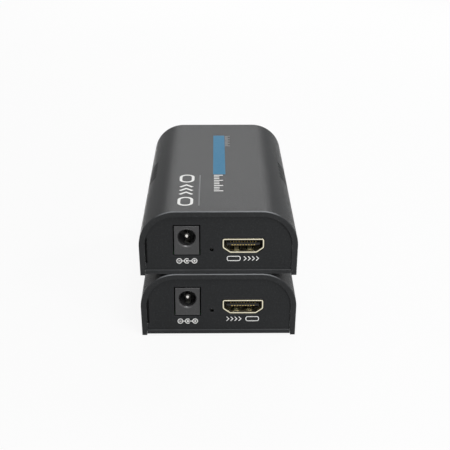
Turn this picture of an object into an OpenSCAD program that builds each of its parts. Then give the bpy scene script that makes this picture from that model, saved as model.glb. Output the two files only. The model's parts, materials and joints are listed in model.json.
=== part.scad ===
/* [Casing] */
// Width of a unit across its belly
unit_w = 57.5; // [56:0.5:80]
// Length of a unit from its front end to its rear end
unit_l = 112; // [108:1:160]
// Height of a unit from the bottom of its side rails to its flat top
unit_h = 25; // [24.5:0.5:34]
// Radius of the two rounded shoulders
shoulder_r = 13.25; // [11:0.25:14]
// How far each side leans in from the belly down to the rail
side_draft = 0.3; // [0.1:0.1:0.6]
// Wall of the hood
hood_t = 1.8; // [1.4:0.1:2]
// How far the side rails hang below the base plate
rail_drop = 0.6; // [0.4:0.1:1]
// Thickness of the base plate
base_t = 1.8; // [1.6:0.1:2]
// Thickness of the front and rear panels
panel_t = 1.6; // [1.2:0.1:1.8]
// How far the panels stand back from the ends of the hood
panel_inset = 0.4; // [0.3:0.1:1]

/* [Vents] */
// Number of slots in each side of the hood
vent_count = 5; // [3:1:10]
// Distance from one slot to the next
vent_pitch = 4.3; // [3.6:0.1:5]
// Width of a slot
vent_w = 1.7; // [1:0.1:2.4]
// How far the slots' middle lies behind the unit's middle, as a share of the unit's length
vent_y_share = 0.027; // [0:0.001:0.06]
// How far the lower end of the slots lies below the belly
vent_low_drop = 3.75; // [2:0.25:5.5]
// How far the upper end of the slots lies below the flat top
vent_top_drop = 4; // [3.5:0.25:7]

/* [Circuit board] */
// Share of the free height inside a unit that lies below the board
post_share = 0.7368; // [0.65:0.01:0.76]
// Thickness of the board
board_t = 1.6; // [1.2:0.2:1.6]

/* [Front sockets] */
// Place of the power socket across the front, as a share of the unit's width
power_x_share = -0.199; // [-0.205:0.001:-0.195]
// Width of the power socket
power_w = 9; // [8.6:0.1:9.6]
// Height of the power socket
power_h = 11; // [10.6:0.1:12]
// Depth of the power socket
power_l = 14; // [13:0.5:15]
// Radius of the power socket's bore
power_bore_r = 3.15; // [3:0.05:3.3]
// Radius of the pin in the power socket's bore
power_pin_r = 1; // [0.8:0.05:1.25]
// Place of the video port across the front, as a share of the unit's width
port_x_share = 0.1565; // [0.15:0.0005:0.16]
// Width of the video port over its shell
port_w = 14.9; // [14.6:0.1:15.4]
// Height of the video port over its shell
port_h = 5.4; // [5.2:0.1:5.6]
// Depth of the video port
port_l = 11.5; // [11:0.5:13]
// How far the reset button lies to the right of the middle between its neighbours
reset_off = 0.2; // [-0.3:0.1:0.5]
// Radius of the pinhole before the reset button
pinhole_r = 0.75; // [0.6:0.05:0.8]
// How far the reset button travels
reset_travel = 0.25; // [0.15:0.05:0.3]

/* [Rear sockets] */
// Place of the network jack across the rear, seen from behind, as a share of the unit's width
net_x_share = -0.07; // [-0.08:0.005:-0.06]
// Width of the network jack over its shield
net_w = 16; // [15.6:0.1:16.4]
// Height of the network jack over its shield
net_h = 13.5; // [13.2:0.1:13.6]
// Depth of the network jack
net_l = 21.3; // [20.5:0.1:22.5]
// Place of the infrared jack across the rear, seen from behind, as a share of the unit's width
ir_x_share = 0.21; // [0.2:0.005:0.23]
// Radius of the infrared jack's bore
ir_bore_r = 1.8; // [1.76:0.01:1.85]
// Radius of a status light
led_r = 1.5; // [1.2:0.1:1.6]

/* [Hidden] */
UNITS = ["transmitter", "receiver"];
PIECES = ["hood", "base_plate", "front_panel", "rear_panel", "case_screws",
    "main_board", "board_screws",
    "dc_jack_body", "dc_jack_pin", "dc_jack_contacts",
    "video_port_shell", "video_port_tongue", "video_port_contacts",
    "reset_switch_body", "reset_plunger",
    "network_jack_shield", "network_jack_insert", "network_jack_contacts",
    "infrared_jack_body", "infrared_jack_contacts", "status_leds",
    "network_transformer", "processor_chip", "heat_sink", "memory_chip",
    "video_chip", "crystal", "power_inductor", "capacitors"];
NODES = [for (unit = UNITS) for (piece = PIECES) str(unit, "_", piece)];
node = "all";

// Overrun of every cut past the face that it opens
over = 1;
// Clearance of the pieces that slide into the casing
fit_gap = 0.15;
// Clearance of a lead or screw in its hole
lead_gap = 0.1;
// Clearance of a contact in its moulding, and of the screws in their threads
contact_gap = 0.03;
// Smoothness of large and small round stretches
large_fn = 96;
small_fn = 32;

// Casing
belly_z = unit_h - shoulder_r;
top_half = unit_w / 2 - shoulder_r;
stack_pitch = unit_h - rail_drop;
base_top = rail_drop + base_t;
front_y = -unit_l / 2 + panel_inset;
panel_back_y = front_y + panel_t;
vent_low_z = belly_z - vent_low_drop;
vent_high_z = unit_h - vent_top_drop;
lip_in = 0.3;
rib_in = 1;
rib_l = 1;
groove_gap = 0.1;
notch_w = 0.9;
notch_low_gap = 2.3;
notch_rise = 2.95;
notch_low_z = base_top + notch_low_gap;
notch_high_z = belly_z + notch_rise;

// Case screws and the bosses that take them
screw_r = 1.2;
screw_head_r = 2.4;
screw_head_l = 1.2;
screw_l = 8;
cross_l = 2.6;
cross_w = 0.5;
cross_deep = 0.7;
boss_r = 2.6;
boss_side_in = 5.9;
boss_back_gap = 1.2;
boss_x = unit_w / 2 - hood_t - boss_side_in;
boss_y = -front_y - power_l - boss_back_gap - boss_r;
boss_hole_l = 9;

// Board, its posts and its screws
post_h = post_share * (unit_h - hood_t - base_top - board_t - net_h);
board_z = base_top + post_h;
board_top = board_z + board_t;
board_side_gap = 0.35;
board_end_gap = 0.3;
board_w = unit_w - 2 * (hood_t + rib_in + side_draft + board_side_gap);
board_l = -2 * (panel_back_y + board_end_gap);
boss_gap = 0.3;
post_r = 2.4;
post_side_in = 5;
post_end_in = 22;
post_x = board_w / 2 - post_side_in;
post_y = board_l / 2 - post_end_in;
board_screw_r = 1;
board_screw_head_r = 2;
board_screw_head_l = 1.4;
board_screw_end_gap = 0.8;
board_screw_l = post_h - board_screw_end_gap;

// How far leads and short legs reach below the board, as shares of the height there
lead_below_share = 0.3;
short_leg_share = 0.15;
lead_below = lead_below_share * post_h;
short_leg_below = short_leg_share * post_h;

// Places across the front, and across the rear as seen from behind
power_x = power_x_share * unit_w;
port_x = port_x_share * unit_w;
reset_x = (power_x + power_w / 2 + port_x - port_w / 2) / 2 + reset_off;
net_x = net_x_share * unit_w;
ir_x = ir_x_share * unit_w;
led_x_shares = [0.2, 0.57];
led_room = unit_w / 2 - hood_t + net_x - net_w / 2;
led_xs = [for (share = led_x_shares) net_x - net_w / 2 - share * led_room];

// Power socket
power_front_l = 3.5;
power_bore_drop = 4.5;
power_bore_z = power_h - power_bore_drop;
power_bore_l = 9.6;
power_rim = 0.4;
power_gap = 0.45;
power_barrel_wall = 1.05;
power_foot_in = 0.6;
power_pin_back = 2;
power_pin_tip = 0.5;
power_tail_r = 0.7;
power_rivet_r = 1.2;
power_rivet_l = 0.4;
power_tab_w = 2;
power_tab_t = 0.4;
power_tab_rise = 1.6;
power_side_y = 6;
power_side_rise = 4;
leaf_t = 0.3;
leaf_w = 2;
leaf_slot_w = 2.4;
leaf_slot_h = 1.1;
leaf_slot_y = power_front_l - power_tab_t;
leaf_slot_z = power_bore_z - power_bore_r - leaf_slot_h;
leaf_ys = [3.2, 4.6, 6, 9];
leaf_drops = [0.5, -0.15, 0.5, 0.6];

// Video port
port_bottom = 0.68;
port_floor_w = 9.5;
port_side_h = 3.5;
port_corner_r = 0.7;
port_floor_r = 1.1;
port_t = 0.4;
port_gap = 0.35;
tongue_w = 11.9;
tongue_t = 1.1;
tongue_z = 2.95;
tongue_back = 1;
tongue_nose = 0.2;
tongue_block_y = 8;
tongue_block_in = 0.4;
video_pitch = 1;
video_rows = [10, 9];
video_contact_w = 0.32;
video_contact_t = 0.12;
video_contact_back = 0.4;
video_foot_l = 1;
video_foot_out = 0.7;
finger_x = 2.4;
finger_w = 1.8;
finger_t = 0.2;
finger_l = 4.4;
finger_y = 2;
finger_gap = 0.35;
finger_in = 0.55;
finger_nose = 0.8;
port_leg_l = 1.4;
port_leg_ys = [3.2, 8.8];

// Reset switch
switch_w = 4.5;
switch_h = 3.6;
switch_l = 3.5;
switch_y = 3.4;
plunger_r = 0.8;
plunger_out = 1.1;
plunger_z = 1.8;
plunger_gap = 0.05;
plunger_flange_r = 1.2;
plunger_flange_l = 0.6;
plunger_wall = 0.7;
plunger_room = 0.1;
switch_leg_w = 1;
switch_leg_out = 0.6;
switch_leg_t = 0.25;

// Network jack
shield_t = 0.3;
shield_gap = 0.1;
shield_rim = 0.35;
net_gap = 0.3;
mouth_w = 11.9;
mouth_h = 7;
mouth_z = 4.2;
mouth_l = 14;
latch_w = 6.2;
latch_h = 1.7;
catch_w = 3.4;
catch_h = 1.1;
mouth_top = mouth_z + mouth_h;
net_wire_count = 8;
net_wire_pitch = 1.02;
net_wire_w = 0.45;
net_wire_t = 0.3;
net_wire_front = 2.6;
net_wire_bend = 0.6;
net_wire_deep = 10.4;
net_wire_drop = 2.5;
net_wire_rise = 1;
net_tail_ys = [16, 18.4];
net_comb_y = net_wire_front - net_wire_t;
shield_post_y = 12.6;
shield_post_l = 1.6;
peg_r = 1.5;
peg_x = 5.7;
peg_y = 9;

// Infrared jack
ir_w = 6.5;
ir_h = 5.2;
ir_l = 12;
ir_bore_z = 2.6;
ir_bore_l = 12.6;
ir_rim = 0.3;
ir_nose_r = 2.5;
ir_nose_l = 1.9;
ir_hole_gap = 0.25;
ir_leaf_t = 0.25;
ir_leaf_l = 2.2;
ir_leaf_ys = [4.4, 8, 11];
ir_leaf_gap = 0.1;
ir_foot_out = 1;

// Status lights
led_z = 3.2;
led_out = 0.4;
led_body_l = 4.4;
led_flange_r = 1.9;
led_flange_l = 0.8;
led_leg_t = 0.5;
led_leg_pitch = 2.54;
led_leg_back = 1.4;

// Parts on the board: each place is a pair of shares of the board's width and length
transformer_x_share = 0.08;
processor_place_shares = [0.02, 0.03];
memory_place_shares = [-0.28, 0.03];
video_chip_place_shares = [0.18, -0.225];
crystal_place_shares = [-0.3, 0.13];
inductor_place_shares = [-0.28, -0.18];
capacitor_place_shares = [[-0.08, -0.215], [-0.08, -0.125], [-0.27, 0.2], [0.34, 0.13]];

// Chips: width, length and height of each, and the leads along their sides
processor_size = [14, 14, 1.4];
video_chip_size = [10, 10, 1.2];
memory_size = [4, 5, 1.5];
transformer_size = [12.6, 7, 5];
transformer_gap = 3.3;
transformer_y = -front_y - net_l - transformer_gap - transformer_size[1] / 2;
processor_leads = 16;
processor_lead_pitch = 0.8;
video_leads = 11;
video_lead_pitch = 0.8;
memory_leads = 4;
memory_lead_pitch = 1.27;
transformer_leads = 8;
transformer_lead_pitch = 1.27;
chip_stand = 0.1;
lead_w = 0.34;
lead_t = 0.16;
lead_out = 1;
lead_foot = 0.5;
lead_in = 0.3;
dot_r = 0.5;
dot_deep = 0.1;
dot_in = 1.3;

// Heat sink, crystal, inductor and capacitors
sink_size = [15, 15, 6];
sink_floor = 1.5;
sink_fin_t = 0.9;
sink_fins = 6;
crystal_size = [11, 4.6, 3.6];
crystal_rim = 0.4;
crystal_rim_h = 0.5;
crystal_round_share = 0.49;
inductor_size = [7, 7, 3.6];
inductor_corner_r = 1.2;
inductor_core_r = 2.5;
inductor_ring_w = 0.5;
inductor_ring_deep = 0.6;
can_r = 3.1;
can_h = 6;
can_base_w = 6.6;
can_base_h = 0.9;
can_base_corner_r = 0.8;
can_neck_r = 2.8;
can_neck_h = 0.5;
can_neck_z = 1.3;

// A vector of length one
function unit_of(v) = v / norm(v);
// The vector turned a quarter to the left
function left_of(v) = [-v[1], v[0]];
// The shift that keeps the two edges that meet at a point at one distance
function miter(before, after) =
    let (n = unit_of(unit_of(left_of(before)) + unit_of(left_of(after))))
    n / (n * unit_of(left_of(after)));
// The shift at point i of an open path
function path_miter(p, i) =
    let (last = len(p) - 1,
        before = i == 0 ? p[1] - p[0] : p[i] - p[i - 1],
        after = i == last ? p[last] - p[last - 1] : p[i + 1] - p[i])
    miter(before, after);
// Outline of a strip of thickness t along an open path
function strip_outline(p, t) = concat(
    [for (i = [0 : len(p) - 1]) p[i] + path_miter(p, i) * t / 2],
    [for (i = [len(p) - 1 : -1 : 0]) p[i] - path_miter(p, i) * t / 2]);
// A closed outline, drawn anticlockwise, with every edge moved out by d
function grown(p, d) =
    let (n = len(p))
    [for (i = [0 : n - 1])
        p[i] - miter(p[i] - p[(i + n - 1) % n], p[(i + 1) % n] - p[i]) * d];
// Points of the arc of radius r that rounds the corner b between a and c
function corner(a, b, c, r, steps = 4) =
    let (u = unit_of(a - b), v = unit_of(c - b), half = acos(u * v) / 2,
        centre = b + unit_of(u + v) * r / sin(half),
        start = b + u * r / tan(half), stop = b + v * r / tan(half))
    [for (k = [0 : steps])
        centre + unit_of(start + (stop - start) * k / steps - centre) * r];
// A closed outline with each corner rounded by its own radius
function rounded(p, radii) =
    let (n = len(p))
    [for (i = [0 : n - 1])
        each corner(p[(i + n - 1) % n], p[i], p[(i + 1) % n], radii[i])];
// A rectangle around the origin, drawn anticlockwise, with round corners
function rounded_rectangle(w, l, r) =
    rounded([[-w / 2, -l / 2], [w / 2, -l / 2], [w / 2, l / 2], [-w / 2, l / 2]], [r, r, r, r]);

// Outline of the video port, seen from the front, with its floor at zero height
port_points = [[-port_floor_w / 2, 0], [port_floor_w / 2, 0],
    [port_w / 2, port_h - port_side_h], [port_w / 2, port_h],
    [-port_w / 2, port_h], [-port_w / 2, port_h - port_side_h]];
port_radii = [port_floor_r, port_floor_r, port_floor_r, port_corner_r, port_corner_r, port_floor_r];
function port_outline(d) = rounded(grown(port_points, d), [for (r = port_radii) r + d]);
// Outline of the network jack's mouth with its two latch steps
latch_z = mouth_z - latch_h;
catch_z = latch_z - catch_h;
mouth_points = [[-catch_w / 2, catch_z], [catch_w / 2, catch_z],
    [catch_w / 2, latch_z], [latch_w / 2, latch_z], [latch_w / 2, mouth_z], [mouth_w / 2, mouth_z],
    [mouth_w / 2, mouth_top], [-mouth_w / 2, mouth_top], [-mouth_w / 2, mouth_z],
    [-latch_w / 2, mouth_z], [-latch_w / 2, latch_z], [-catch_w / 2, latch_z]];
// Legs that pass through the board: place across, depth, width and length of each
power_side_x = power_w / 2 - power_foot_in + power_tab_t / 2;
power_legs = [[0, power_l + power_tab_t / 2, power_tab_w, power_tab_t],
    [0, leaf_ys[3], leaf_w, leaf_t],
    [power_side_x, power_side_y, power_tab_t, power_tab_w]];
port_legs = [for (side = [-1, 1]) for (y = port_leg_ys)
    [side * (port_w - port_t) / 2, y, port_t, port_leg_l]];
shield_legs = [for (side = [-1, 1])
    [side * (net_w - shield_t) / 2, shield_post_y, shield_t, shield_post_l]];
function net_wire_x(i) = (i - (net_wire_count - 1) / 2) * net_wire_pitch;
net_legs = [for (i = [0 : net_wire_count - 1])
    [net_wire_x(i), net_tail_ys[i % 2], net_wire_w, net_wire_t]];
led_rear_y = led_body_l + led_flange_l - led_out;
led_legs = [for (x = led_xs) for (side = [-1, 1])
    [x + side * led_leg_pitch / 2, led_rear_y + led_leg_back, led_leg_t, led_leg_t]];

// Extrudes an outline, seen from the front, from one depth to another
module along_y(from, to) {
    translate([0, to, 0])
        rotate([90, 0, 0])
            linear_extrude(to - from)
                children();
}

// A round bar or cone that starts at zero depth and points inwards
module bar_y(r, l, r_end = undef) {
    rotate([-90, 0, 0])
        cylinder(r1 = r, r2 = is_undef(r_end) ? r : r_end, h = l, $fn = small_fn);
}

// A strip of width w around the middle, bent along a path of depths and heights
module bent_strip(path, t, w) {
    rotate([90, 0, 90])
        linear_extrude(w, center = true)
            polygon(strip_outline(path, t));
}

// Puts a piece on the board's level behind the front panel's outer face
module at_front(x = 0) {
    translate([x, front_y, board_top])
        children();
}

// The same behind the rear panel: x is as seen from behind, and depth runs inwards
module at_rear(x = 0) {
    rotate([0, 0, 180])
        at_front(x)
            children();
}

// Puts a piece on top of the board at shares of its width and length
module on_board(place_shares) {
    translate([place_shares[0] * board_w, place_shares[1] * board_l, board_top])
        children();
}

// Copies a piece to both sides and both ends
module at_corners(x, y) {
    for (side = [-1, 1])
        for (end = [-1, 1])
            translate([side * x, end * y, 0])
                children();
}

// Legs down through the board, or with a gap the holes that they pass through
module legs(list, below, gap = 0) {
    for (leg = list)
        translate([leg[0], leg[1], -board_t - below])
            linear_extrude(board_t + below + (gap > 0 ? over : 0))
                square([leg[2] + 2 * gap, leg[3] + 2 * gap], center = true);
}

// Outline of the hood, moved in by the given distance
module hood_outline(inset) {
    half = unit_w / 2 - inset;
    intersection() {
        union() {
            for (side = [-1, 1])
                translate([side * top_half, belly_z])
                    circle(shoulder_r - inset, $fn = large_fn);
            translate([-top_half, belly_z])
                square([2 * top_half, shoulder_r - inset]);
        }
        translate([-unit_w, belly_z])
            square([2 * unit_w, unit_h]);
    }
    polygon([[side_draft - half, 0], [half - side_draft, 0], [half, belly_z], [-half, belly_z]]);
}

// The same outline, run on below the rails, for cuts that open the bottom
module hood_cut_outline(inset) {
    half = unit_w / 2 - inset - side_draft;
    hood_outline(inset);
    translate([-half, -over])
        square([2 * half, over]);
}

// The space that the base plate slides into, right through the lips and ribs
module base_space() {
    intersection() {
        along_y(-unit_l / 2 - over, unit_l / 2 + over)
            hood_cut_outline(hood_t);
        translate([-unit_w, -unit_l, -over])
            cube([2 * unit_w, 2 * unit_l, base_top + over]);
    }
}

// Screw bosses from the roof of the hood down to the base plate
module hood_bosses() {
    intersection() {
        along_y(-unit_l / 2, unit_l / 2)
            hood_outline(hood_t / 2);
        at_corners(boss_x, boss_y)
            translate([0, 0, base_top])
                cylinder(r = boss_r, h = unit_h, $fn = small_fn);
    }
}

// The space that the network jack and its clearance take
module network_jack_space() {
    at_rear(net_x)
        translate([-net_w / 2 - net_gap, 0, 0])
            cube([net_w + 2 * net_gap, net_l, net_h + net_gap]);
}

// The slots in both shoulders and sides
module vent_slots() {
    first_y = vent_y_share * unit_l - (vent_count - 1) * vent_pitch / 2;
    slot_h = vent_high_z - vent_low_z;
    for (i = [0 : vent_count - 1])
        for (side = [-1, 1])
            translate([side * unit_w / 2, first_y + i * vent_pitch, vent_low_z + slot_h / 2])
                cube([2 * shoulder_r, vent_w, slot_h], center = true);
}

// Hood: end lips, ribs behind the panels, vent slots and screw bosses
module hood() {
    groove_end_y = panel_back_y + groove_gap;
    chamber_y = groove_end_y + rib_l;
    color([0.42, 0.42, 0.43])
        difference() {
            union() {
                difference() {
                    along_y(-unit_l / 2, unit_l / 2)
                        hood_outline(0);
                    along_y(-unit_l / 2 - over, unit_l / 2 + over)
                        hood_cut_outline(hood_t + rib_in);
                    along_y(chamber_y, -chamber_y)
                        hood_cut_outline(hood_t);
                    for (turn = [0, 180])
                        rotate([0, 0, turn]) {
                            along_y(-unit_l / 2 - over, front_y)
                                hood_cut_outline(hood_t + lip_in);
                            along_y(front_y, groove_end_y)
                                hood_cut_outline(hood_t);
                        }
                    base_space();
                }
                hood_bosses();
            }
            vent_slots();
            network_jack_space();
            at_corners(boss_x, boss_y)
                translate([0, 0, base_top - over])
                    cylinder(r = screw_r + contact_gap, h = boss_hole_l + over, $fn = small_fn);
        }
}

// Base plate with countersunk holes and the posts that carry the board
module base_plate() {
    color([0.2, 0.2, 0.21])
        difference() {
            union() {
                intersection() {
                    along_y(-unit_l / 2, unit_l / 2)
                        hood_outline(hood_t + fit_gap);
                    translate([-unit_w / 2, -unit_l / 2, rail_drop])
                        cube([unit_w, unit_l, base_t]);
                }
                at_corners(post_x, post_y)
                    translate([0, 0, base_top - base_t / 2])
                        cylinder(r = post_r, h = base_t / 2 + post_h, $fn = small_fn);
            }
            at_corners(boss_x, boss_y)
                translate([0, 0, rail_drop]) {
                    cylinder(r = screw_r + lead_gap, h = base_t + over, $fn = small_fn);
                    cylinder(r1 = screw_head_r, r2 = screw_r, h = screw_head_l, $fn = small_fn);
                }
            at_corners(post_x, post_y)
                translate([0, 0, base_top])
                    cylinder(r = board_screw_r + contact_gap, h = post_h + over, $fn = small_fn);
        }
}

// Blank of a panel, as it sits in the grooves on top of the base plate
module panel_blank() {
    intersection() {
        along_y(0, panel_t)
            translate([0, -board_top])
                hood_outline(hood_t + fit_gap);
        translate([-unit_w / 2, -over, base_top - board_top])
            cube([unit_w, panel_t + 2 * over, unit_h]);
    }
}

// Front panel: power, reset and video openings, and a notch in its left edge
module front_panel() {
    color([0.19, 0.19, 0.2])
        at_front()
            difference() {
                panel_blank();
                translate([power_x - power_w / 2 - power_gap, -over, -power_gap])
                    cube([power_w + 2 * power_gap, panel_t + 2 * over, power_h + 2 * power_gap]);
                translate([port_x, 0, port_bottom])
                    along_y(-over, panel_t + over)
                        polygon(port_outline(port_gap));
                translate([reset_x, -over, plunger_z])
                    bar_y(pinhole_r, panel_t + 2 * over);
                translate([-unit_w / 2, -over, notch_low_z - board_top])
                    cube([hood_t + lip_in + notch_w, panel_t + 2 * over, notch_high_z - notch_low_z]);
            }
}

// Rear panel: network, infrared and status light openings
module rear_panel() {
    color([0.19, 0.19, 0.2])
        at_rear()
            difference() {
                panel_blank();
                translate([net_x - net_w / 2 - net_gap, -over, -net_gap])
                    cube([net_w + 2 * net_gap, panel_t + 2 * over, net_h + 2 * net_gap]);
                translate([ir_x, -over, ir_bore_z])
                    bar_y(ir_nose_r + ir_hole_gap, panel_t + 2 * over);
                for (x = led_xs)
                    translate([x, -over, led_z])
                        bar_y(led_r + lead_gap, panel_t + 2 * over);
            }
}

// A cross recess for a screwdriver, cut upwards from zero height
module cross_recess() {
    for (turn = [0, 90])
        rotate([0, 0, turn])
            translate([-cross_l / 2, -cross_w / 2, -over])
                cube([cross_l, cross_w, cross_deep + over]);
}

// Countersunk screws that hold the base plate to the hood
module case_screws() {
    color([0.3, 0.3, 0.31])
        at_corners(boss_x, boss_y)
            translate([0, 0, rail_drop])
                difference() {
                    union() {
                        cylinder(r1 = screw_head_r - contact_gap, r2 = screw_r - contact_gap,
                            h = screw_head_l, $fn = small_fn);
                        cylinder(r = screw_r, h = screw_l, $fn = small_fn);
                    }
                    cross_recess();
                }
}

// Screws that hold the board on the posts
module board_screws() {
    color([0.7, 0.7, 0.68])
        at_corners(post_x, post_y)
            translate([0, 0, board_top + board_screw_head_l])
                rotate([180, 0, 0])
                    difference() {
                        union() {
                            cylinder(r = board_screw_head_r, h = board_screw_head_l, $fn = small_fn);
                            cylinder(r = board_screw_r, h = board_screw_head_l + board_t + board_screw_l,
                                $fn = small_fn);
                        }
                        cross_recess();
                    }
}

// Circuit board with the holes for bosses, screws, pegs and legs
module main_board() {
    color([0.05, 0.3, 0.14])
        difference() {
            translate([-board_w / 2, -board_l / 2, board_z])
                cube([board_w, board_l, board_t]);
            at_corners(boss_x, boss_y)
                translate([0, 0, board_z - over])
                    cylinder(r = boss_r + boss_gap, h = board_t + 2 * over, $fn = small_fn);
            at_corners(post_x, post_y)
                translate([0, 0, board_z - over])
                    cylinder(r = board_screw_r + lead_gap, h = board_t + 2 * over, $fn = small_fn);
            at_front(power_x)
                legs(power_legs, over, lead_gap);
            at_front(port_x)
                legs(port_legs, over, lead_gap);
            at_rear(net_x) {
                legs(shield_legs, over, lead_gap);
                legs(net_legs, over, lead_gap);
                for (side = [-1, 1])
                    translate([side * peg_x, peg_y, -board_t - over])
                        cylinder(r = peg_r + lead_gap, h = board_t + 2 * over, $fn = small_fn);
            }
            at_rear()
                legs(led_legs, over, lead_gap);
        }
}

// Power socket: square front, round barrel, chamfered bore and slot for its leaf
module dc_jack_body() {
    foot_half = power_w / 2 - power_foot_in;
    color([0.25, 0.25, 0.25])
        at_front(power_x)
            difference() {
                union() {
                    translate([-power_w / 2, 0, 0])
                        cube([power_w, power_front_l, power_h]);
                    translate([-foot_half, 0, 0])
                        cube([2 * foot_half, power_l, power_bore_z]);
                    translate([0, 0, power_bore_z])
                        bar_y(power_bore_r + power_barrel_wall, power_l);
                }
                translate([0, 0, power_bore_z]) {
                    translate([0, -over, 0])
                        bar_y(power_bore_r, power_bore_l + over);
                    bar_y(power_bore_r + power_rim, power_rim, power_bore_r);
                    bar_y(power_tail_r + contact_gap, power_l + over);
                }
                translate([-leaf_slot_w / 2, leaf_slot_y, leaf_slot_z])
                    cube([leaf_slot_w, power_bore_l - leaf_slot_y, power_bore_r + leaf_slot_h]);
                translate([0, 0, leaf_t])
                    legs([power_legs[1]], over, lead_gap);
                translate([-leaf_w / 2 - lead_gap, leaf_ys[3] - leaf_t / 2 - lead_gap, -over])
                    cube([leaf_w + 2 * lead_gap, leaf_t + 2 * lead_gap, power_bore_z]);
            }
}

// Centre pin of the power socket: bevelled tip, seat, tail and rivet head
module dc_jack_pin() {
    shaft_y = power_pin_back + power_pin_tip;
    color([0.8, 0.8, 0.78])
        at_front(power_x)
            translate([0, 0, power_bore_z]) {
                translate([0, power_pin_back, 0])
                    bar_y(power_pin_r - power_pin_tip, power_pin_tip, power_pin_r);
                translate([0, shaft_y, 0])
                    bar_y(power_pin_r, power_bore_l - shaft_y);
                translate([0, power_bore_l, 0])
                    bar_y(power_tail_r, power_l + power_tab_t - power_bore_l);
                translate([0, power_l + power_tab_t, 0])
                    bar_y(power_rivet_r, power_rivet_l);
            }
}

// Solder tabs and sprung leaf of the power socket
module dc_jack_contacts() {
    bore_low = power_bore_z - power_bore_r;
    leaf_path = concat([for (i = [0 : 3]) [leaf_ys[i], bore_low - leaf_drops[i]]],
        [[leaf_ys[3], -board_t - lead_below]]);
    color([0.78, 0.77, 0.74])
        at_front(power_x) {
            difference() {
                union() {
                    legs([power_legs[0]], lead_below);
                    translate([-power_tab_w / 2, power_l, 0])
                        cube([power_tab_w, power_tab_t, power_bore_z + power_tab_rise]);
                }
                translate([0, power_l - over, power_bore_z])
                    bar_y(power_tail_r + contact_gap, power_tab_t + 2 * over);
            }
            bent_strip(leaf_path, leaf_t, leaf_w);
            legs([power_legs[2]], lead_below);
            translate([power_side_x - power_tab_t / 2, power_side_y - power_tab_w / 2, 0])
                cube([power_tab_t, power_tab_w, power_side_rise]);
        }
}

// Places something at both contact fingers of the port's floor and of its roof
module at_fingers() {
    for (side = [-1, 1]) {
        translate([side * finger_x, 0, 0])
            children();
        translate([side * finger_x, 0, port_h])
            mirror([0, 0, 1])
                children();
    }
}

// Video port shell: folded sheet with sprung fingers and four solder legs
module video_port_shell() {
    root_y = finger_y + finger_l;
    finger_path = [[root_y + finger_gap, port_t / 2], [root_y, port_t / 2],
        [finger_y + finger_nose, port_t + finger_in - finger_t / 2],
        [finger_y + finger_gap, port_t + finger_in / 2]];
    color([0.78, 0.7, 0.45])
        at_front(port_x)
            translate([0, 0, port_bottom]) {
                difference() {
                    along_y(0, port_l)
                        polygon(port_outline(0));
                    along_y(-over, port_l + over)
                        polygon(port_outline(-port_t));
                    at_fingers()
                        translate([-finger_w / 2 - finger_gap, finger_y, -over])
                            cube([finger_w + 2 * finger_gap, finger_l, port_t + 2 * over]);
                }
                at_fingers()
                    bent_strip(finger_path, finger_t, finger_w);
                translate([0, 0, -port_bottom]) {
                    legs(port_legs, short_leg_below);
                    for (leg = port_legs)
                        translate([leg[0], leg[1], 0])
                            linear_extrude(port_bottom + port_h - port_side_h / 2)
                                square([leg[2], leg[3]], center = true);
                }
            }
}

// Path of a video contact of the upper or lower row, and its place across
function video_contact_path(row) =
    let (z = tongue_z + (row == 0 ? 1 : -1) * (tongue_t + video_contact_t) / 2,
        tail_y = port_l + video_foot_out,
        foot_z = video_contact_t / 2 - port_bottom)
    [[tongue_back + video_contact_back, z], [tail_y, z], [tail_y, foot_z], [tail_y + video_foot_l, foot_z]];
function video_contact_x(row, i) = (i - (video_rows[row] - 1) / 2) * video_pitch;

// All video contacts, or with a gap the passages that they lie in
module video_contact_strips(gap = 0) {
    for (row = [0, 1])
        for (i = [0 : video_rows[row] - 1])
            translate([video_contact_x(row, i), 0, 0])
                bent_strip(video_contact_path(row), video_contact_t + 2 * gap, video_contact_w + 2 * gap);
}

// Moulded tongue and rear block of the video port
module video_port_tongue() {
    color([0.12, 0.12, 0.12])
        at_front(port_x)
            translate([0, 0, port_bottom])
                difference() {
                    union() {
                        along_y(tongue_block_y, port_l - tongue_block_in)
                            polygon(port_outline(-port_t - contact_gap));
                        translate([0, 0, tongue_z])
                            rotate([90, 0, 90])
                                linear_extrude(tongue_w, center = true)
                                    polygon([[tongue_block_y + over, -tongue_t / 2],
                                        [tongue_block_y + over, tongue_t / 2],
                                        [tongue_back + tongue_nose, tongue_t / 2],
                                        [tongue_back, tongue_t / 2 - tongue_nose],
                                        [tongue_back, tongue_nose - tongue_t / 2],
                                        [tongue_back + tongue_nose, -tongue_t / 2]]);
                    }
                    video_contact_strips(contact_gap);
                }
}

// The nineteen video contacts in two staggered rows
module video_port_contacts() {
    color([0.85, 0.72, 0.35])
        at_front(port_x)
            translate([0, 0, port_bottom])
                video_contact_strips();
}

// Case of the reset switch with the chamber of its plunger and four legs
module reset_switch_body() {
    chamber_l = plunger_flange_l + reset_travel + plunger_room;
    color([0.1, 0.1, 0.1])
        at_front(reset_x)
            translate([0, switch_y, 0]) {
                difference() {
                    translate([-switch_w / 2, 0, 0])
                        cube([switch_w, switch_l, switch_h]);
                    translate([0, -over, plunger_z])
                        bar_y(plunger_r + plunger_gap, plunger_wall + 2 * over);
                    translate([0, plunger_wall, plunger_z])
                        bar_y(plunger_flange_r + plunger_room, chamber_l);
                }
                for (side = [-1, 1])
                    for (y = [switch_leg_w, switch_l - switch_leg_w])
                        translate([side * switch_w / 2, y, switch_leg_t / 2])
                            cube([2 * switch_leg_out, switch_leg_w, switch_leg_t], center = true);
            }
}

// Reset plunger with the flange that keeps it in its case
module reset_plunger() {
    color([0.75, 0.75, 0.72])
        at_front(reset_x)
            translate([0, switch_y, plunger_z]) {
                translate([0, -plunger_out, 0])
                    bar_y(plunger_r, plunger_out + plunger_wall + contact_gap);
                translate([0, plunger_wall + contact_gap, 0])
                    bar_y(plunger_flange_r, plunger_flange_l);
            }
}

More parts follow.
